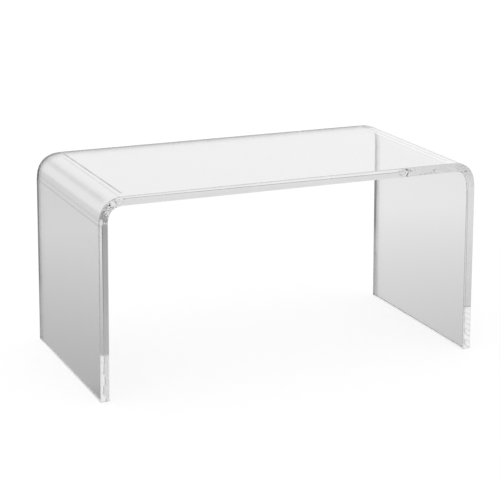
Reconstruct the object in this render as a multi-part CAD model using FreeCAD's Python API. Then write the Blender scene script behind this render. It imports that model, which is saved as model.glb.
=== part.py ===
"""Waterfall coffee table: one clear acrylic sheet bent down into two slab legs, on four clear pads.

Millimetres. X runs along the table, Y across it (front at -Y) and Z up. The origin is on the floor,
under the middle of the top.
"""
import FreeCAD, Part
import math
import os

from FreeCAD import Vector

# ---- driving dimensions ----
table_length = 914.0          # across the outer faces of the feet
table_depth = 457.0           # front edge to rear edge
table_height = 453.0          # floor to the upper face of the top
sheet_thickness = 20.8
leg_lean = 0.71               # degrees that each leg leans outward, down to its foot
bend_inner_radius = 27.0      # in the middle of each bend, where the sheet was heated most
run_out_inner_radius = 84.0   # at both ends of each bend, where it runs out into the flat sheet
run_out_turn = 11.5           # degrees of each bend taken up by each of its two ends
edge_ease = 1.5               # radius of the polished round on every cut edge

pad_diameter = 12.7
pad_thickness = 1.5
pad_edge_round = 0.5          # radius round the face that meets the floor
pad_end_inset = 30.0          # from the front or rear edge of a leg to the centre of its pad

# ---- worked out ----
half_thickness = sheet_thickness / 2
bend_radius = bend_inner_radius + half_thickness
run_out_radius = run_out_inner_radius + half_thickness
foot_z = pad_thickness
# Headings fall from level (0) to the lean of the leg: where each of the three arcs of a bend starts and ends.
leg_heading = math.radians(90 - leg_lean)
headings = (0.0, math.radians(run_out_turn), leg_heading - math.radians(run_out_turn), leg_heading)
radii = (run_out_radius, bend_radius, run_out_radius)


def outward(heading):
    """The direction square to the sheet where it has this heading."""
    return Vector(math.sin(heading), 0, math.cos(heading))


def bend_centres(start_x):
    """Centres of the three arcs of the right bend, which starts at this distance along the top."""
    first = Vector(start_x, 0, table_height - half_thickness - run_out_radius)
    second = first + outward(headings[1]) * (run_out_radius - bend_radius)
    third = second + outward(headings[2]) * (bend_radius - run_out_radius)
    return first, second, third


def foot_point(offset, centres):
    """Where the leg face this far outside the middle of the sheet meets the level foot."""
    leg_top = centres[2] + outward(leg_heading) * (run_out_radius + offset)
    return Vector(leg_top.x + (leg_top.z - foot_z) * math.tan(math.radians(leg_lean)), 0, foot_z)


centres = bend_centres(table_length / 2 - foot_point(half_thickness, bend_centres(0)).x)


def right_half(offset):
    """One face of the sheet, from the middle of the table to the right foot."""
    top_z = table_height - half_thickness + offset
    edges = [Part.makeLine(Vector(0, 0, top_z), Vector(centres[0].x, 0, top_z))]
    for centre, radius, start, end in zip(centres, radii, headings, headings[1:]):
        points = [centre + outward(heading) * (radius + offset) for heading in (start, (start + end) / 2, end)]
        edges.append(Part.Arc(*points).toShape())
    edges.append(Part.makeLine(points[-1], foot_point(offset, centres)))
    return edges


def side_profile():
    """The outline of the right half of the bent sheet, seen from the front."""
    outer, inner = right_half(half_thickness), right_half(-half_thickness)
    foot = Part.makeLine(foot_point(half_thickness, centres), foot_point(-half_thickness, centres))
    middle = Part.makeLine(Vector(0, 0, table_height), Vector(0, 0, table_height - sheet_thickness))
    return Part.Wire(Part.__sortEdges__([*outer, foot, *inner, middle]))


def make_sheet():
    """The whole bent sheet, with every cut edge eased."""
    profile = Part.Face(side_profile())
    profile.translate(Vector(0, -table_depth / 2, 0))
    half = profile.extrude(Vector(0, table_depth, 0))
    sheet = half.fuse(half.mirror(Vector(0, 0, 0), Vector(1, 0, 0))).removeSplitter()
    return sheet.makeFillet(edge_ease, cut_edges(sheet))


def cut_edges(sheet):
    """The edges round the front face, the rear face and the two feet."""
    found = []
    for edge in sheet.Edges:
        box = edge.BoundBox
        on_side = box.YLength < 0.001
        on_foot = box.ZLength < 0.001 and abs(box.ZMax - foot_z) < 0.001
        if on_side or on_foot:
            found.append(edge)
    return found


def make_pad(x_side, y_side):
    """One pad, centred under the thickness of its leg."""
    foot_centre_x = (foot_point(half_thickness, centres).x + foot_point(-half_thickness, centres).x) / 2
    centre = Vector(x_side * foot_centre_x, y_side * (table_depth / 2 - pad_end_inset), 0)
    pad = Part.makeCylinder(pad_diameter / 2, pad_thickness, centre)
    floor_edges = [edge for edge in pad.Edges if edge.BoundBox.ZMax < 0.001]
    return pad.makeFillet(pad_edge_round, floor_edges)


os.makedirs("parts", exist_ok=True)
make_sheet().exportStep("parts/acrylic_sheet.step")
for x_side, x_name in ((-1, "left"), (1, "right")):
    for y_side, y_name in ((-1, "front"), (1, "rear")):
        make_pad(x_side, y_side).exportStep(f"parts/pad_{y_name}_{x_name}.step")
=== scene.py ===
"""Looks of the acrylic waterfall table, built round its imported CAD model.

All sizes are in metres, in the frame of the CAD model: X along the table, front edge at -Y, floor at Z 0.
"""

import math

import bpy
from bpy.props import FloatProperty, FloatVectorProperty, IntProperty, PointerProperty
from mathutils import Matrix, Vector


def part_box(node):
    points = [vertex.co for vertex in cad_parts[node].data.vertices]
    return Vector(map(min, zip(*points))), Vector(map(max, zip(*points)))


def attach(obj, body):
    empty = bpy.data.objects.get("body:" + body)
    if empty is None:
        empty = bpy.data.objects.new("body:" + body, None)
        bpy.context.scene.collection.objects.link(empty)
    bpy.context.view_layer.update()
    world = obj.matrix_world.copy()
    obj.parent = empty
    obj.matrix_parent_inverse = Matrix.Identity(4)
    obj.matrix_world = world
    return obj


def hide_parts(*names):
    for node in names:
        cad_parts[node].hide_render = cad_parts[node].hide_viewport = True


bl_info = {
    "name": "Acrylic waterfall table",
    "version": (1, 0, 0),
    "blender": (4, 5, 0),
    "location": "3D View > Sidebar > Waterfall table",
    "description": "Builds a clear waterfall table, its floor pads and a pale studio round its CAD frame",
    "category": "Add Mesh",
}

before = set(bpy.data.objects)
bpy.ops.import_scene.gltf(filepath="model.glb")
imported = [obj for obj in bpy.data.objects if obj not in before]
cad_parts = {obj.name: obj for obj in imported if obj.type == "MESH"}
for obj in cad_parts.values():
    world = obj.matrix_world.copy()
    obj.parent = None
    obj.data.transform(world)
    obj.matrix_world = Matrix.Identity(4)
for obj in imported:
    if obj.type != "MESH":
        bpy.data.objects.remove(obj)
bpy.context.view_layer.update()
SHEET_LOW, SHEET_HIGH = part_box("acrylic_sheet")
PAD_NODES = ("pad_front_left", "pad_front_right", "pad_rear_left", "pad_rear_right")
PAD_LOW, PAD_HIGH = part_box("pad_rear_right")


# ---- sizes and colours that a user would change ----

class TableSheetSizes(bpy.types.PropertyGroup):
    """Sizes of the bent sheet."""
    length: FloatProperty(name="Length", description="Across the outer faces of the feet",
                          default=0.914, unit="LENGTH")
    depth: FloatProperty(name="Depth", description="Front edge to rear edge",
                         default=SHEET_HIGH.y - SHEET_LOW.y, unit="LENGTH")
    height: FloatProperty(name="Height", description="Floor to the upper face of the top",
                          default=0.453, unit="LENGTH")
    foot_height: FloatProperty(name="Foot height", description="Floor to the underside of the legs",
                               default=SHEET_LOW.z, unit="LENGTH")
    thickness: FloatProperty(name="Thickness", description="Thickness of the acrylic",
                             default=0.0208, unit="LENGTH")
    leg_lean: FloatProperty(name="Leg lean", description="Degrees that each leg leans out, down to its foot",
                            default=0.71)
    bend_inner_radius: FloatProperty(name="Bend inner radius",
                                     description="Radius in the middle of each bend",
                                     default=0.027, unit="LENGTH")
    run_out_inner_radius: FloatProperty(name="Run-out inner radius",
                                        description="Radius where a bend runs out into the flat sheet",
                                        default=0.084, unit="LENGTH")
    run_out_turn: FloatProperty(name="Run-out turn", description="Degrees that each end of a bend turns",
                                default=11.5)
    edge_ease: FloatProperty(name="Edge ease", description="Width of the polished round on the cut edges",
                             default=0.0015, unit="LENGTH")
    arc_points: IntProperty(name="Arc points",
                            description="Points on each arc of a bend, before they are evened out",
                            default=96, min=8)
    bend_step: FloatProperty(name="Bend step", description="Length of a facet along the sheet",
                             default=0.0015, unit="LENGTH")
    bend_softening: IntProperty(name="Bend softening",
                                description="How far the arcs of a bend blend into each other",
                                default=24, min=0)
    edge_cuts: IntProperty(name="Edge cuts", description="Extra points across the thickness of the cut edge",
                           default=9, min=0)
    bend_draw: FloatProperty(name="Bend draw",
                             description="How far a bend draws in the outer side of its cut edge",
                             default=0.0006, unit="LENGTH")
    bend_ripple: FloatProperty(name="Bend ripple",
                               description="Depth of the ripples in the cut edge of a bend",
                               default=0.002, unit="LENGTH")
    ripple_scale: FloatProperty(name="Ripple scale", description="Ripples in a metre of that cut edge",
                                default=330.0)


class TablePadSizes(bpy.types.PropertyGroup):
    """Sizes of the floor pads."""
    ease: FloatProperty(name="Edge round",
                        description="Round on the rim of a pad", default=0.0003, unit="LENGTH")
    glue_line: FloatProperty(name="Glue line", description="Gap that the clear adhesive fills above a pad",
                             default=0.00005, unit="LENGTH")
    sides: IntProperty(name="Sides", description="Facets round a pad", default=48, min=12)


class TableFinish(bpy.types.PropertyGroup):
    """Colours and surfaces of the clear materials."""
    acrylic_tint: FloatVectorProperty(name="Acrylic tint",
                                      description="Light that one pass through the sheet keeps",
                                      default=(0.97, 0.97, 0.97), subtype="COLOR", min=0, max=1)
    acrylic_ior: FloatProperty(name="Acrylic IOR",
                               description="Refractive index of the acrylic", default=1.49)
    polish_wave: FloatProperty(name="Polish wave", description="Height of the waves left by polishing",
                               default=0.00001, unit="LENGTH")
    # Painted shade along the rear edge of the sheet, taken from the acrylic's colour.
    painted_shade_reach: FloatProperty(name="Rear reach", description="How far the shade of the rear edge reaches in",
                              default=0.02, unit="LENGTH")
    faces_painted_shade: FloatProperty(name="Rear faces", description="Light that the faces lose at the rear edge",
                              default=0.55, min=0, max=1)
    cut_edge_painted_shade: FloatProperty(name="Rear cut", description="Light that the rear cut edge loses",
                            default=0.14, min=0, max=1)
    pad_tint: FloatVectorProperty(name="Pad tint", description="Colour of the clear pads",
                                  default=(0.88, 0.88, 0.88), subtype="COLOR", min=0, max=1)
    pad_ior: FloatProperty(name="Pad IOR", description="Refractive index of the pads", default=1.5)
    pad_clear: FloatProperty(name="Pad clear", description="Share of the light that the pads let through",
                             default=0.9, min=0, max=1)


class TableHeatMarks(bpy.types.PropertyGroup):
    """Where painted shade lies round each bend, and how much light each painted line, band and speck takes;
    the lines where a bend starts and ends also stand out a little.
    """
    centre_x: FloatProperty(name="Bend centre X", description="Middle of the table to the centre of a bend",
                            default=0.4031, unit="LENGTH")
    centre_z: FloatProperty(name="Bend centre Z", description="Floor to the centre of a bend",
                            default=0.4041, unit="LENGTH")
    start_x: FloatProperty(name="Start X", description="Middle of the table to the line where a bend starts",
                           default=0.3917, unit="LENGTH")
    start_width: FloatProperty(name="Start width", description="Half width of that line",
                               default=0.0026, unit="LENGTH")
    # Painted shade: the shade values of the lines and the band darken the acrylic's colour.
    start_painted_shade: FloatProperty(name="Start shade",
                               description="Light that it takes", default=0.8, min=0, max=1)
    end_z: FloatProperty(name="End Z", description="Floor to the line where a bend ends",
                         default=0.3935, unit="LENGTH")
    end_width: FloatProperty(name="End width", description="Half width of that line",
                             default=0.0024, unit="LENGTH")
    end_painted_shade: FloatProperty(name="End shade", description="Light that it takes", default=0.28, min=0, max=1)
    over_rise: FloatProperty(name="Over rise", description="From that line up to the faint line over it",
                             default=0.0125, unit="LENGTH")
    over_width: FloatProperty(name="Over width", description="Half width of the faint line",
                              default=0.0035, unit="LENGTH")
    over_painted_shade: FloatProperty(name="Over shade",
                              description="Light that it takes", default=0.14, min=0, max=1)
    band_turn: FloatProperty(name="Band turn", description="Where on a bend its soft band lies, from upright",
                             default=math.radians(38.5), subtype="ANGLE")
    band_width: FloatProperty(name="Band width", description="Half width of the band",
                              default=math.radians(9.0), subtype="ANGLE")
    band_painted_shade: FloatProperty(name="Band shade",
                              description="Light that it takes", default=0.28, min=0, max=1)
    speck_turn: FloatProperty(name="Speck turn",
                              description="Where the cut edge of a bend has specks, from upright",
                              default=math.radians(32.0), subtype="ANGLE")
    speck_width: FloatProperty(name="Speck width", description="Half width of the specks' stretch",
                               default=math.radians(26.0), subtype="ANGLE")
    speck_scale: FloatProperty(name="Speck scale", description="Specks in a metre of cut edge", default=340.0)
    right_start: FloatProperty(name="Right start",
                               description="Strength of the line where the right bend starts",
                               default=0.6, min=0, max=1)
    right_end: FloatProperty(name="Right end", description="Strength of the lines where the right bend ends",
                             default=0.15, min=0, max=1)
    height: FloatProperty(name="Height", description="How far the two lines stand out",
                          default=0.0001, unit="LENGTH")


class TableStage(bpy.types.PropertyGroup):
    """The studio round the table, with the painted glow and shade of its floor that only the acrylic shows.
    """
    sweep_bearing: FloatProperty(name="Sweep bearing",
                                 description="Where the floor is bright, from the table's length",
                                 default=math.radians(83.0), subtype="ANGLE")
    # Painted glow and shade of the floor, which only glossy and transmission rays see.
    sweep_front: FloatProperty(name="Sweep front", description="Glow of the floor in front of the table",
                               default=0.34)
    sweep_middle: FloatProperty(name="Sweep middle", description="Glow of the floor under the table",
                                default=0.64)
    sweep_back: FloatProperty(name="Sweep back", description="Glow of the floor far behind", default=0.9)
    shade_ends: FloatProperty(name="Shade ends", description="Where the dark front of the floor ends",
                              default=-0.38, unit="LENGTH")
    table_line: FloatProperty(name="Table line",
                              description="Where the floor reaches its glow under the table",
                              default=-0.12, unit="LENGTH")
    sweep_far: FloatProperty(name="Sweep far", description="Where the floor is brightest", default=1.1,
                             unit="LENGTH")
    left_share: FloatProperty(name="Left share",
                              description="Share of the floor's glow that is kept on the left",
                              default=0.41)
    right_share: FloatProperty(name="Right share", description="Share of it that is kept on the right",
                               default=0.92)
    left_dark: FloatProperty(name="Left dark", description="Where the left of the floor is darkest",
                             default=-0.95, unit="LENGTH")
    left_clear: FloatProperty(name="Left clear", description="Where the shade of the left ends",
                              default=-0.05, unit="LENGTH")
    wall_bearing: FloatProperty(name="Wall bearing", description="Where the backdrop is bright",
                                default=math.radians(25.0), subtype="ANGLE")
    wall_front: FloatProperty(name="Wall front",
                              description="Glow of the studio behind the camera", default=0.42)
    wall_back: FloatProperty(name="Wall back", description="Glow of the backdrop", default=1.0)
    ceiling: FloatProperty(name="Ceiling", description="Glow of the studio overhead", default=0.5)
    horizon: FloatProperty(name="Horizon",
                           description="Height where the backdrop starts to give way to the ceiling",
                           default=0.407, min=0, max=1)
    zenith: FloatProperty(name="Zenith", description="Height where the ceiling is all there is",
                          default=0.985, min=0, max=1)
    paper: FloatProperty(name="Paper", description="Share of the studio's light that the floor throws back",
                         default=0.22, min=0, max=1)
    paper_glow: FloatProperty(name="Paper glow",
                              description="Light of the floor's own, where shadows don't reach",
                              default=0.81, min=0)
    floor_size: FloatProperty(name="Floor size", description="Side of the floor", default=60.0, unit="LENGTH")
    bounces: IntProperty(name="Bounces",
                         description="Reflections followed inside the acrylic", default=48, min=1)
    lens: FloatProperty(name="Lens", description="Focal length in millimetres", default=120.71)


# ---- helpers ----

def settings():
    return bpy.context.scene.waterfall_table


def link_object(name, mesh):
    piece = bpy.data.objects.new(name, mesh)
    bpy.context.scene.collection.objects.link(piece)
    return piece


def wire(tree, value, socket):
    """Gives a socket a value, or the output of another node."""
    if isinstance(value, bpy.types.NodeSocket):
        tree.links.new(value, socket)
    else:
        socket.default_value = value


def add_node(tree, kind, inputs=None, **properties):
    made = tree.nodes.new(kind)
    for name, value in properties.items():
        setattr(made, name, value)
    for name, value in (inputs or {}).items():
        wire(tree, value, made.inputs[name])
    return made


def calc(tree, operation, *values):
    """A math node's result."""
    made = tree.nodes.new("ShaderNodeMath")
    made.operation = operation
    for value, socket in zip(values, made.inputs):
        wire(tree, value, socket)
    return made.outputs[0]


def slope(tree, value, low, high, start=0.0, end=1.0, shape="LINEAR"):
    """Goes from the start to the end, as the value goes from low to high."""
    return add_node(tree, "ShaderNodeMapRange", {
        "Value": value, "From Min": low, "From Max": high, "To Min": start, "To Max": end},
        interpolation_type=shape).outputs[0]


def fade(tree, value, low, high, start=0.0, end=1.0):
    """The same with soft ends."""
    return slope(tree, value, low, high, start, end, "SMOOTHSTEP")


def noise(tree, place, scale, detail=2.0):
    """Soft noise between 0 and 1."""
    return add_node(tree, "ShaderNodeTexNoise", {
        "Vector": place, "Scale": scale, "Detail": detail}).outputs[0]


def point(tree, x, y, z):
    return add_node(tree, "ShaderNodeCombineXYZ", {"X": x, "Y": y, "Z": z}).outputs[0]


def parts(tree, vector):
    """The X, Y and Z of a vector."""
    return add_node(tree, "ShaderNodeSeparateXYZ", {0: vector}).outputs


def capture(tree, kind, geometry, value):
    """Keeps a value on the points of a curve while it is swept."""
    made = tree.nodes.new("GeometryNodeCaptureAttribute")
    made.capture_items.new(kind, "Kept")
    wire(tree, geometry, made.inputs[0])
    wire(tree, value, made.inputs[1])
    return made.outputs[0], made.outputs[1]


def switch(tree, kind, index, values):
    """The value that goes with a point's number."""
    made = add_node(tree, "GeometryNodeIndexSwitch", {"Index": index}, data_type=kind)
    while len(made.index_switch_items) < len(values):
        made.index_switch_items.new()
    for number, value in enumerate(values):
        wire(tree, value, made.inputs[str(number)])
    return made.outputs[0]


def new_geometry_tree(name, sizes):
    """A Geometry Nodes tree with a mesh output and a named input for each size."""
    tree = bpy.data.node_groups.new(name, "GeometryNodeTree")
    tree.interface.new_socket("Geometry", in_out="INPUT", socket_type="NodeSocketGeometry")
    for label, value in sizes.items():
        kind = "NodeSocketInt" if isinstance(value, int) else "NodeSocketFloat"
        tree.interface.new_socket(label, in_out="INPUT", socket_type=kind)
    tree.interface.new_socket("Material", in_out="INPUT", socket_type="NodeSocketMaterial")
    tree.interface.new_socket("Geometry", in_out="OUTPUT", socket_type="NodeSocketGeometry")
    return tree


def finish_tree(tree, geometry, material):
    """Ends a tree in Realize Instances and Set Material."""
    real = add_node(tree, "GeometryNodeRealizeInstances", {"Geometry": geometry}).outputs[0]
    smooth = add_node(tree, "GeometryNodeSetShadeSmooth", {"Geometry": real}).outputs[0]
    painted = add_node(tree, "GeometryNodeSetMaterial", {"Geometry": smooth, "Material": material}).outputs[0]
    tree.links.new(painted, tree.nodes.new("NodeGroupOutput").inputs[0])


def give_inputs(modifier, values):
    """Sets a tree's inputs by their identifiers."""
    for item in modifier.node_group.interface.items_tree:
        if item.item_type == "SOCKET" and item.in_out == "INPUT" and item.name in values:
            modifier[item.identifier] = values[item.name]


def grow(name, tree, values, ease):
    """Runs a tree, rounds its sharp edges and returns the result as one plain mesh."""
    seed = link_object(name + "_seed", bpy.data.meshes.new(name + "_seed"))
    nodes = seed.modifiers.new("shape", "NODES")
    nodes.node_group = tree
    give_inputs(nodes, values)
    bevel = seed.modifiers.new("eased edges", "BEVEL")
    bevel.width = ease
    bevel.segments = 4
    bevel.limit_method = "ANGLE"
    bevel.angle_limit = math.radians(50)
    bevel.use_clamp_overlap = False
    weighted = seed.modifiers.new("flat faces stay flat", "WEIGHTED_NORMAL")
    weighted.weight = 100
    graph = bpy.context.evaluated_depsgraph_get()
    mesh = bpy.data.meshes.new_from_object(seed.evaluated_get(graph), depsgraph=graph)
    mesh.name = name
    bpy.data.objects.remove(seed)
    return link_object(name, mesh)


# ---- materials ----

def new_material(name):
    material = bpy.data.materials.new(name)
    material.use_nodes = True
    material.node_tree.nodes.clear()
    return material, material.node_tree


def object_place(tree):
    return tree.nodes.new("ShaderNodeTexCoord").outputs["Object"]


def hump(tree, value, centre, spread):
    """1 at the centre, falling smoothly to 0 on both sides."""
    off = calc(tree, "DIVIDE", calc(tree, "SUBTRACT", value, centre), spread)
    return calc(tree, "EXPONENT", calc(tree, "MULTIPLY", calc(tree, "MULTIPLY", off, off), -1.0))


def right_share(tree, x, share):
    """1 on the left half of the table, and this share on the right half."""
    blend = 0.01
    return slope(tree, x, -blend, blend, 1.0, share)


def outer_faces(tree, across, z):
    """The outer face of the top and of the legs, where the painted lines lie, weaker on the right."""
    marks, sheet = settings().marks, settings().sheet
    over_middle = calc(tree, "GREATER_THAN", z, sheet.height - sheet.thickness / 2)
    on_top = calc(tree, "MULTIPLY", right_share(tree, across, marks.right_start), over_middle)
    skin = 0.72   # part of the thickness that counts as the outer face of a leaning leg
    leg_face = SHEET_HIGH.x - sheet.thickness * skin
    past_skin = calc(tree, "GREATER_THAN", calc(tree, "ABSOLUTE", across), leg_face)
    on_leg = calc(tree, "MULTIPLY", right_share(tree, across, marks.right_end), past_skin)
    return on_top, on_leg


def round_the_bend(tree, x, z):
    """How far round its bend a place lies, and whether it is in the outer half of the thickness."""
    marks, sheet = settings().marks, settings().sheet
    outward = calc(tree, "SUBTRACT", x, marks.centre_x)
    upward = calc(tree, "SUBTRACT", z, marks.centre_z)
    turn = calc(tree, "ARCTAN2", outward, upward)
    reach = add_node(tree, "ShaderNodeVectorMath", {0: point(tree, outward, upward, 0.0)},
                     operation="LENGTH").outputs["Value"]
    middle = sheet.bend_inner_radius + sheet.thickness / 2
    return turn, calc(tree, "GREATER_THAN", reach, middle)


def cut_edge_specks(tree, place, turn, inset):
    """Painted dark specks in the cut edge round a bend, a stand-in for the reflections inside it."""
    marks = settings().marks
    deep, shallow = 0.0025, 0.001
    faint_spot, full_spot = 0.54, 0.62
    near_cut = slope(tree, inset, deep, shallow)
    spots = fade(tree, noise(tree, place, marks.speck_scale, 1.0), faint_spot, full_spot)
    stretch = hump(tree, turn, marks.speck_turn, marks.speck_width)
    return calc(tree, "MULTIPLY", stretch, calc(tree, "MULTIPLY", near_cut, spots))


def heat_marks(tree, place):
    """Strength of the painted shade: the line where a bend starts, the two where it ends, the band between
    and the specks.
    """
    marks = settings().marks
    across, y, z = parts(tree, place)
    x = calc(tree, "ABSOLUTE", across)
    inset = calc(tree, "SUBTRACT", settings().sheet.depth / 2, calc(tree, "ABSOLUTE", y))
    on_top, on_leg = outer_faces(tree, across, z)
    turn, outside = round_the_bend(tree, x, z)
    line_from_cut = fade(tree, inset, 0.016, 0.034)
    band_from_cut = fade(tree, inset, 0.004, 0.035)

    start = calc(tree, "MULTIPLY", hump(tree, x, marks.start_x, marks.start_width),
                 calc(tree, "MULTIPLY", on_top, line_from_cut))
    end = calc(tree, "MULTIPLY", hump(tree, z, marks.end_z, marks.end_width), on_leg)
    over = calc(tree, "MULTIPLY", hump(tree, z, marks.end_z + marks.over_rise, marks.over_width), on_leg)
    band = calc(tree, "MULTIPLY", hump(tree, turn, marks.band_turn, marks.band_width),
                calc(tree, "MULTIPLY", outside, band_from_cut))
    return start, end, over, band, cut_edge_specks(tree, place, turn, inset)


def rear_shade(tree, place):
    """Painted shade along the rear edge, on the two faces and on the cut edge. It stands for a dark studio
    front mirrored in that edge.
    """
    eased = 0.001        # the shade is full this near the edge
    facing_sideways = 0.7
    to_rear = calc(tree, "SUBTRACT", settings().sheet.depth / 2, parts(tree, place)["Y"])
    near = fade(tree, to_rear, settings().finish.painted_shade_reach, eased)
    normal = tree.nodes.new("ShaderNodeTexCoord").outputs["Normal"]
    sideways = calc(tree, "ABSOLUTE", parts(tree, normal)["Y"])
    cut = calc(tree, "MULTIPLY", near, calc(tree, "GREATER_THAN", sideways, facing_sideways))
    return calc(tree, "SUBTRACT", near, cut), cut


def add_up(tree, shares):
    """The sum of values that are each multiplied by their share."""
    total = 0.0
    for value, share in shares:
        total = calc(tree, "MULTIPLY_ADD", value, share, total)
    return total


def clear_surface(material, tree, **inputs):
    """Ends a material in a clear surface."""
    named = {name.replace("_", " "): value for name, value in inputs.items()}
    surface = add_node(tree, "ShaderNodeBsdfPrincipled", named)
    output = tree.nodes.new("ShaderNodeOutputMaterial")
    tree.links.new(surface.outputs[0], output.inputs["Surface"])
    return material


def clear_acrylic():
    """Polished cast acrylic, with painted shade round its bends and along its rear edge, and a slight bump
    and roughness on the lines of its bends.
    """
    finish, marks = settings().finish, settings().marks
    patch_scale, wave_scale = 28.0, 8.0
    start_rough, end_rough, over_rough, speck_rough = 0.1, 0.06, 0.04, 0.2
    material, tree = new_material("clear_acrylic")
    place = object_place(tree)
    start, end, over, band, specks = heat_marks(tree, place)
    faces_painted_shade, cut_edge_painted_shade = rear_shade(tree, place)
    # Painted shade: the lines, band and specks round the bends and the rear edge darken the acrylic's colour,
    # in uneven patches.
    dark = add_up(tree, ((start, marks.start_painted_shade), (end, marks.end_painted_shade), (over, marks.over_painted_shade),
                         (band, marks.band_painted_shade), (specks, 1.0), (faces_painted_shade, finish.faces_painted_shade),
                         (cut_edge_painted_shade, finish.cut_edge_painted_shade)))
    uneven = calc(tree, "ADD", noise(tree, place, patch_scale), 0.5)
    kept = calc(tree, "MULTIPLY_ADD", calc(tree, "MULTIPLY", dark, uneven), -1.0, 1.0)
    colour = add_node(tree, "ShaderNodeVectorMath", {0: tuple(finish.acrylic_tint), "Scale": kept},
                      operation="SCALE").outputs[0]
    rough = add_up(tree, ((start, start_rough), (end, end_rough), (over, over_rough), (specks, speck_rough)))
    wave = noise(tree, place, wave_scale, 1.0)
    height = add_up(tree, ((wave, finish.polish_wave), (start, marks.height), (end, marks.height)))
    bump = add_node(tree, "ShaderNodeBump", {"Height": height, "Distance": 1.0}).outputs[0]
    return clear_surface(material, tree, Base_Color=colour, Roughness=rough, IOR=finish.acrylic_ior,
                         Transmission_Weight=1.0, Normal=bump)


def clear_pad():
    """Soft clear polyurethane."""
    finish = settings().finish
    grain_scale, grain_height = 900.0, 0.0001
    least_rough, grain_rough = 0.15, 0.2
    material, tree = new_material("clear_pad")
    grain = noise(tree, object_place(tree), grain_scale)
    rough = calc(tree, "MULTIPLY_ADD", grain, grain_rough, least_rough)
    bump = add_node(tree, "ShaderNodeBump", {"Height": grain, "Distance": grain_height}).outputs[0]
    return clear_surface(material, tree, Base_Color=(*finish.pad_tint, 1), Roughness=rough,
                         IOR=finish.pad_ior, Transmission_Weight=finish.pad_clear, Normal=bump)


# ---- the bent sheet ----

def bend_line(tree, given):
    """The middle of the sheet seen from the front: eight points, with three on the way round each bend."""
    half_thickness = calc(tree, "DIVIDE", given["Thickness"], 2.0)
    lean = calc(tree, "RADIANS", given["Leg Lean"])
    first = calc(tree, "RADIANS", given["Run Out Turn"])
    second = calc(tree, "SUBTRACT", calc(tree, "SUBTRACT", math.pi / 2, lean), first)
    bend_radius = calc(tree, "ADD", given["Bend Inner Radius"], half_thickness)
    run_out_radius = calc(tree, "ADD", given["Run Out Inner Radius"], half_thickness)
    half_bend = calc(tree, "DIVIDE", calc(tree, "SUBTRACT", second, first), 2.0)
    half_run_out = calc(tree, "DIVIDE", first, 2.0)
    reach = calc(tree, "ADD", calc(tree, "MULTIPLY", bend_radius, calc(tree, "TANGENT", half_bend)),
                 calc(tree, "MULTIPLY", run_out_radius, calc(tree, "TANGENT", half_run_out)))

    def along(heading):
        return (calc(tree, "MULTIPLY", reach, calc(tree, "COSINE", heading)),
                calc(tree, "MULTIPLY", reach, calc(tree, "SINE", heading)))

    (run_1, fall_1), (run_2, fall_2) = along(first), along(second)
    top_z = calc(tree, "SUBTRACT", given["Height"], half_thickness)
    upper_z = calc(tree, "SUBTRACT", top_z, fall_1)
    lower_z = calc(tree, "SUBTRACT", upper_z, fall_2)
    spare = 0.0004   # the leg is cut level at its foot, from a line that runs this much below it
    foot_z = calc(tree, "SUBTRACT", given["Foot Height"], spare)
    slope = calc(tree, "TANGENT", lean)
    level_x = calc(tree, "SUBTRACT", calc(tree, "DIVIDE", given["Length"], 2.0),
                   calc(tree, "DIVIDE", half_thickness, calc(tree, "COSINE", lean)))
    foot_x = calc(tree, "MULTIPLY_ADD", slope, spare, level_x)
    lower_x = calc(tree, "SUBTRACT", foot_x,
                   calc(tree, "MULTIPLY", slope, calc(tree, "SUBTRACT", lower_z, foot_z)))
    upper_x = calc(tree, "SUBTRACT", lower_x, run_2)
    top_x = calc(tree, "SUBTRACT", upper_x, run_1)

    right = ((top_x, top_z), (upper_x, upper_z), (lower_x, lower_z), (foot_x, foot_z))
    left = tuple((calc(tree, "MULTIPLY", x, -1.0), z) for x, z in reversed(right))
    places = [point(tree, x, 0.0, z) for x, z in left + right]
    chain = add_node(tree, "GeometryNodeMeshLine", {"Count": len(places)})
    index = tree.nodes.new("GeometryNodeInputIndex").outputs[0]
    moved = add_node(tree, "GeometryNodeSetPosition", {
        "Geometry": chain.outputs[0], "Position": switch(tree, "VECTOR", index, places)})
    line = add_node(tree, "GeometryNodeMeshToCurve", {"Mesh": moved.outputs[0]})
    radii = [0.0, run_out_radius, bend_radius, run_out_radius]
    bent = add_node(tree, "GeometryNodeFilletCurve", {
        "Curve": line.outputs[0], "Count": given["Arc Points"],
        "Radius": switch(tree, "FLOAT", index, radii + radii[::-1])}, mode="POLY")
    even = add_node(tree, "GeometryNodeResampleCurve", {
        "Curve": bent.outputs[0], "Length": given["Bend Step"]}, mode="LENGTH")
    position = tree.nodes.new("GeometryNodeInputPosition").outputs[0]
    half_height = calc(tree, "MULTIPLY", given["Height"], 0.5)
    free = calc(tree, "GREATER_THAN", parts(tree, position)["Z"], half_height)
    softened = add_node(tree, "GeometryNodeBlurAttribute", {
        "Value": position, "Iterations": given["Bend Softening"], "Weight": free}, data_type="FLOAT_VECTOR")
    soft = add_node(tree, "GeometryNodeSetPosition", {
        "Geometry": even.outputs[0], "Position": softened.outputs[0]})
    return soft.outputs[0]


def strip_section(tree, given):
    """The flat strip cut across, with extra points on its two cut edges, and each point's place on it."""
    section = add_node(tree, "GeometryNodeCurvePrimitiveQuadrilateral", {
        "Width": given["Depth"], "Height": given["Thickness"]}, mode="RECTANGLE")
    on_cut_edge = calc(tree, "MODULO", tree.nodes.new("GeometryNodeInputIndex").outputs[0], 2.0)
    fine = add_node(tree, "GeometryNodeSubdivideCurve", {
        "Curve": section.outputs[0], "Cuts": calc(tree, "MULTIPLY", on_cut_edge, given["Edge Cuts"])})
    return capture(tree, "VECTOR", fine.outputs[0], tree.nodes.new("GeometryNodeInputPosition").outputs[0])


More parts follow.
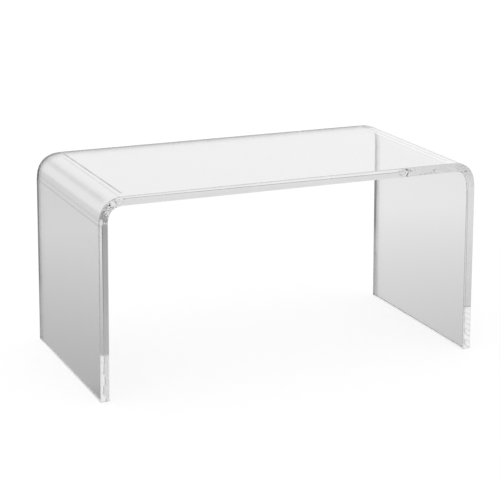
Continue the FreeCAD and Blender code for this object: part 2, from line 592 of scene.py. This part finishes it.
def bent_sheet_tree(values):
    """A flat strip's section carried along the line that the sheet was bent to."""
    tree = new_geometry_tree("bent sheet", values)
    given = tree.nodes.new("NodeGroupInput").outputs
    heading = parts(tree, tree.nodes.new("GeometryNodeInputTangent").outputs[0])
    turned = calc(tree, "ABSOLUTE", calc(tree, "MULTIPLY", heading["X"], heading["Z"]))
    line, curl = capture(tree, "FLOAT", bend_line(tree, given), turned)
    level = add_node(tree, "GeometryNodeSetCurveNormal", {"Curve": line, "Normal": (0, 1, 0)}, mode="FREE")
    strip, corner = strip_section(tree, given)
    swept = add_node(tree, "GeometryNodeCurveToMesh", {
        "Curve": level.outputs[0], "Profile Curve": strip, "Fill Caps": True})

    # Round a bend the cut edge is drawn in at its outer side, and rippled.
    position = tree.nodes.new("GeometryNodeInputPosition").outputs[0]
    x, y, z = parts(tree, position)
    inward = calc(tree, "DIVIDE", parts(tree, corner)["Y"], given["Thickness"])
    draw = calc(tree, "MULTIPLY", calc(tree, "SUBTRACT", inward, 0.5), given["Bend Draw"])
    crest = 0.8   # the noise stays under this, so no ripple stands proud of the flat edge
    hardly_turned, well_turned = 0.014, 0.1
    waves = noise(tree, position, given["Ripple Scale"])
    ripple = calc(tree, "MULTIPLY", calc(tree, "SUBTRACT", waves, crest), given["Bend Ripple"])
    soft_part = fade(tree, curl, hardly_turned, well_turned)
    out = calc(tree, "MULTIPLY", calc(tree, "ADD", draw, ripple), soft_part)
    edge_y = calc(tree, "MULTIPLY_ADD", calc(tree, "SIGN", y), out, y)
    cut_z = calc(tree, "MAXIMUM", z, given["Foot Height"])
    cut = add_node(tree, "GeometryNodeSetPosition", {
        "Geometry": swept.outputs[0], "Position": point(tree, x, edge_y, cut_z)})
    finish_tree(tree, cut.outputs[0], given["Material"])
    return tree


class TABLE_OT_bent_sheet(bpy.types.Operator):
    """Build the one sheet that is both the top and the legs"""
    bl_idname = "waterfall_table.bent_sheet"
    bl_label = "Bent sheet"

    def execute(self, context):
        sizes = settings().sheet
        values = {"Length": sizes.length, "Depth": sizes.depth, "Height": sizes.height,
                  "Foot Height": sizes.foot_height, "Thickness": sizes.thickness, "Leg Lean": sizes.leg_lean,
                  "Bend Inner Radius": sizes.bend_inner_radius,
                  "Run Out Inner Radius": sizes.run_out_inner_radius,
                  "Run Out Turn": sizes.run_out_turn, "Arc Points": sizes.arc_points,
                  "Bend Step": sizes.bend_step, "Bend Softening": sizes.bend_softening,
                  "Edge Cuts": sizes.edge_cuts, "Bend Draw": sizes.bend_draw,
                  "Bend Ripple": sizes.bend_ripple, "Ripple Scale": sizes.ripple_scale}
        tree = bent_sheet_tree(values)
        sheet = grow("bent_sheet", tree, {**values, "Material": clear_acrylic()}, sizes.edge_ease)
        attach(sheet, "root")
        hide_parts("acrylic_sheet")
        return {"FINISHED"}


# ---- the floor pads ----

def pads_tree(values):
    """Four equal discs, one near each corner of the table."""
    tree = new_geometry_tree("floor pads", values)
    given = tree.nodes.new("NodeGroupInput").outputs
    grid = add_node(tree, "GeometryNodeMeshGrid", {
        "Size X": given["Spread X"], "Size Y": given["Spread Y"], "Vertices X": 2, "Vertices Y": 2})
    disc = add_node(tree, "GeometryNodeMeshCylinder", {
        "Vertices": given["Sides"], "Radius": given["Radius"], "Depth": given["Thickness"]})
    raised = add_node(tree, "GeometryNodeTransform", {
        "Geometry": disc.outputs["Mesh"],
        "Translation": point(tree, 0.0, 0.0, calc(tree, "DIVIDE", given["Thickness"], 2.0))})
    placed = add_node(tree, "GeometryNodeInstanceOnPoints", {
        "Points": grid.outputs["Mesh"], "Instance": raised.outputs[0]})
    finish_tree(tree, placed.outputs[0], given["Material"])
    return tree


class TABLE_OT_floor_pads(bpy.types.Operator):
    """Build the clear pads that keep the legs off the floor"""
    bl_idname = "waterfall_table.floor_pads"
    bl_label = "Floor pads"

    def execute(self, context):
        sizes = settings().pads
        centre = (PAD_LOW + PAD_HIGH) / 2
        values = {"Spread X": 2 * centre.x, "Spread Y": 2 * centre.y, "Sides": sizes.sides,
                  "Radius": (PAD_HIGH.x - PAD_LOW.x) / 2, "Thickness": PAD_HIGH.z - sizes.glue_line}
        pads = grow("floor_pads", pads_tree(values), {**values, "Material": clear_pad()}, sizes.ease)
        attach(pads, "root")
        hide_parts(*PAD_NODES)
        return {"FINISHED"}


# ---- the studio ----

def seen_through_glass(tree, plain, through_glass):
    """Mixes two shaders: one for glossy and transmission rays, and a plain one for all others."""
    rays = tree.nodes.new("ShaderNodeLightPath")
    through = calc(tree, "MAXIMUM", rays.outputs["Is Glossy Ray"], rays.outputs["Is Transmission Ray"])
    return add_node(tree, "ShaderNodeMixShader", {0: through, 1: plain, 2: through_glass}).outputs[0]


def backward(tree, place, bearing):
    """How far a place or direction lies toward the bright back of the studio."""
    x, y, _ = parts(tree, place)
    across = calc(tree, "MULTIPLY", x, math.cos(bearing))
    return calc(tree, "MULTIPLY_ADD", y, math.sin(bearing), across)


def sweep_glow(tree, where):
    """Painted glow and shade of the floor as the acrylic shows it: dark in front, a quick rise under the
    table, a slow one behind.
    """
    stage = settings().stage
    away = backward(tree, where, stage.sweep_bearing)
    quick = fade(tree, away, stage.shade_ends, stage.table_line, stage.sweep_front, stage.sweep_middle)
    slow = slope(tree, away, stage.table_line, stage.sweep_far, 0.0, stage.sweep_back - stage.sweep_middle)
    x = parts(tree, where)["X"]
    side = fade(tree, x, stage.left_dark, stage.left_clear, stage.left_share, stage.right_share)
    return calc(tree, "MULTIPLY", calc(tree, "ADD", quick, slow), side)


def floor_material():
    """White paper. Through the acrylic it shows a painted glow that falls off toward the dark front of the
    studio.
    """
    stage = settings().stage
    material, tree = new_material("studio_sweep")
    where = tree.nodes.new("ShaderNodeNewGeometry").outputs["Position"]
    # Painted glow and shade for glossy and transmission rays; the camera sees plain white paper with its
    # shadow.
    graded = add_node(tree, "ShaderNodeEmission", {"Strength": sweep_glow(tree, where)})
    white = add_node(tree, "ShaderNodeBsdfDiffuse", {"Color": (stage.paper, stage.paper, stage.paper, 1)})
    lift = add_node(tree, "ShaderNodeEmission", {"Strength": stage.paper_glow})
    paper = add_node(tree, "ShaderNodeAddShader", {0: white.outputs[0], 1: lift.outputs[0]})
    output = tree.nodes.new("ShaderNodeOutputMaterial")
    tree.links.new(seen_through_glass(tree, paper.outputs[0], graded.outputs[0]), output.inputs["Surface"])
    return material


def studio_world():
    """White all round. Through the acrylic it is bright behind, darker in front and grey overhead."""
    stage = settings().stage
    world = bpy.data.worlds.new("studio")
    world.use_nodes = True
    tree = world.node_tree
    tree.nodes.clear()
    direction = tree.nodes.new("ShaderNodeTexCoord").outputs["Generated"]
    away = backward(tree, direction, stage.wall_bearing)
    low = fade(tree, away, -1.0, 1.0, stage.wall_front, stage.wall_back)
    rise = fade(tree, parts(tree, direction)["Z"], stage.horizon, stage.zenith)
    glow = add_node(tree, "ShaderNodeMix", {0: rise, 2: low, 3: stage.ceiling}, data_type="FLOAT").outputs[0]
    graded = add_node(tree, "ShaderNodeBackground", {"Color": (1, 1, 1, 1), "Strength": glow})
    plain = add_node(tree, "ShaderNodeBackground", {"Color": (1, 1, 1, 1), "Strength": 1.0})
    output = tree.nodes.new("ShaderNodeOutputWorld")
    tree.links.new(seen_through_glass(tree, plain.outputs[0], graded.outputs[0]), output.inputs["Surface"])
    bpy.context.scene.world = world


def aim_camera():
    """The camera stands to the front left of the table, a little above it."""
    place = (-1.49987, -3.44943, 1.31543)
    heading, pitch, roll = 0.40784, 0.28055, 0.00319
    ahead = math.cos(pitch)
    forward = Vector((math.sin(heading) * ahead, math.cos(heading) * ahead, -math.sin(pitch)))
    level = Vector((math.cos(heading), -math.sin(heading), 0))
    upright = level.cross(forward)
    right = level * math.cos(roll) + upright * math.sin(roll)
    up = upright * math.cos(roll) - level * math.sin(roll)
    data = bpy.data.cameras.new("camera")
    data.lens = settings().stage.lens
    camera = bpy.data.objects.new("camera", data)
    bpy.context.scene.collection.objects.link(camera)
    turn = Matrix((right, up, -forward)).transposed().to_4x4()
    camera.matrix_world = Matrix.Translation(place) @ turn
    bpy.context.scene.camera = camera


class TABLE_OT_studio(bpy.types.Operator):
    """Build the pale floor, the soft light and the camera"""
    bl_idname = "waterfall_table.studio"
    bl_label = "Studio"

    def execute(self, context):
        stage = settings().stage
        half = stage.floor_size / 2
        mesh = bpy.data.meshes.new("floor")
        corners = [(-half, -half, 0), (half, -half, 0), (half, half, 0), (-half, half, 0)]
        mesh.from_pydata(corners, [], [(0, 1, 2, 3)])
        floor = link_object("floor", mesh)
        mesh.materials.append(floor_material())
        studio_world()
        aim_camera()
        scene = context.scene
        scene.view_settings.view_transform = "Standard"
        scene.cycles.max_bounces = stage.bounces
        scene.cycles.glossy_bounces = stage.bounces
        scene.cycles.transmission_bounces = stage.bounces
        return {"FINISHED"}


# ---- the add-on ----

class WaterfallTable(bpy.types.PropertyGroup):
    """All settings of the table."""
    sheet: PointerProperty(type=TableSheetSizes)
    pads: PointerProperty(type=TablePadSizes)
    finish: PointerProperty(type=TableFinish)
    marks: PointerProperty(type=TableHeatMarks)
    stage: PointerProperty(type=TableStage)


class TABLE_PT_panel(bpy.types.Panel):
    """Lists the table's settings and the operators that build it"""
    bl_idname = "TABLE_PT_panel"
    bl_label = "Waterfall table"
    bl_space_type = "VIEW_3D"
    bl_region_type = "UI"
    bl_category = "Waterfall table"

    def draw(self, context):
        groups = context.scene.waterfall_table
        for group in (groups.sheet, groups.pads, groups.finish, groups.marks, groups.stage):
            box = self.layout.box()
            for name in group.bl_rna.properties.keys():
                if name not in ("rna_type", "name"):
                    box.prop(group, name)
        for operator in OPERATORS:
            self.layout.operator(operator.bl_idname)


OPERATORS = (TABLE_OT_bent_sheet, TABLE_OT_floor_pads, TABLE_OT_studio)
CLASSES = (TableSheetSizes, TablePadSizes, TableFinish, TableHeatMarks, TableStage, WaterfallTable,
           *OPERATORS, TABLE_PT_panel)


def register():
    for item in CLASSES:
        bpy.utils.register_class(item)
    bpy.types.Scene.waterfall_table = PointerProperty(type=WaterfallTable)


def unregister():
    del bpy.types.Scene.waterfall_table
    for item in reversed(CLASSES):
        bpy.utils.unregister_class(item)


def main():
    register()
    bpy.ops.waterfall_table.bent_sheet()
    bpy.ops.waterfall_table.floor_pads()
    bpy.ops.waterfall_table.studio()


if __name__ == "__main__":
    main()
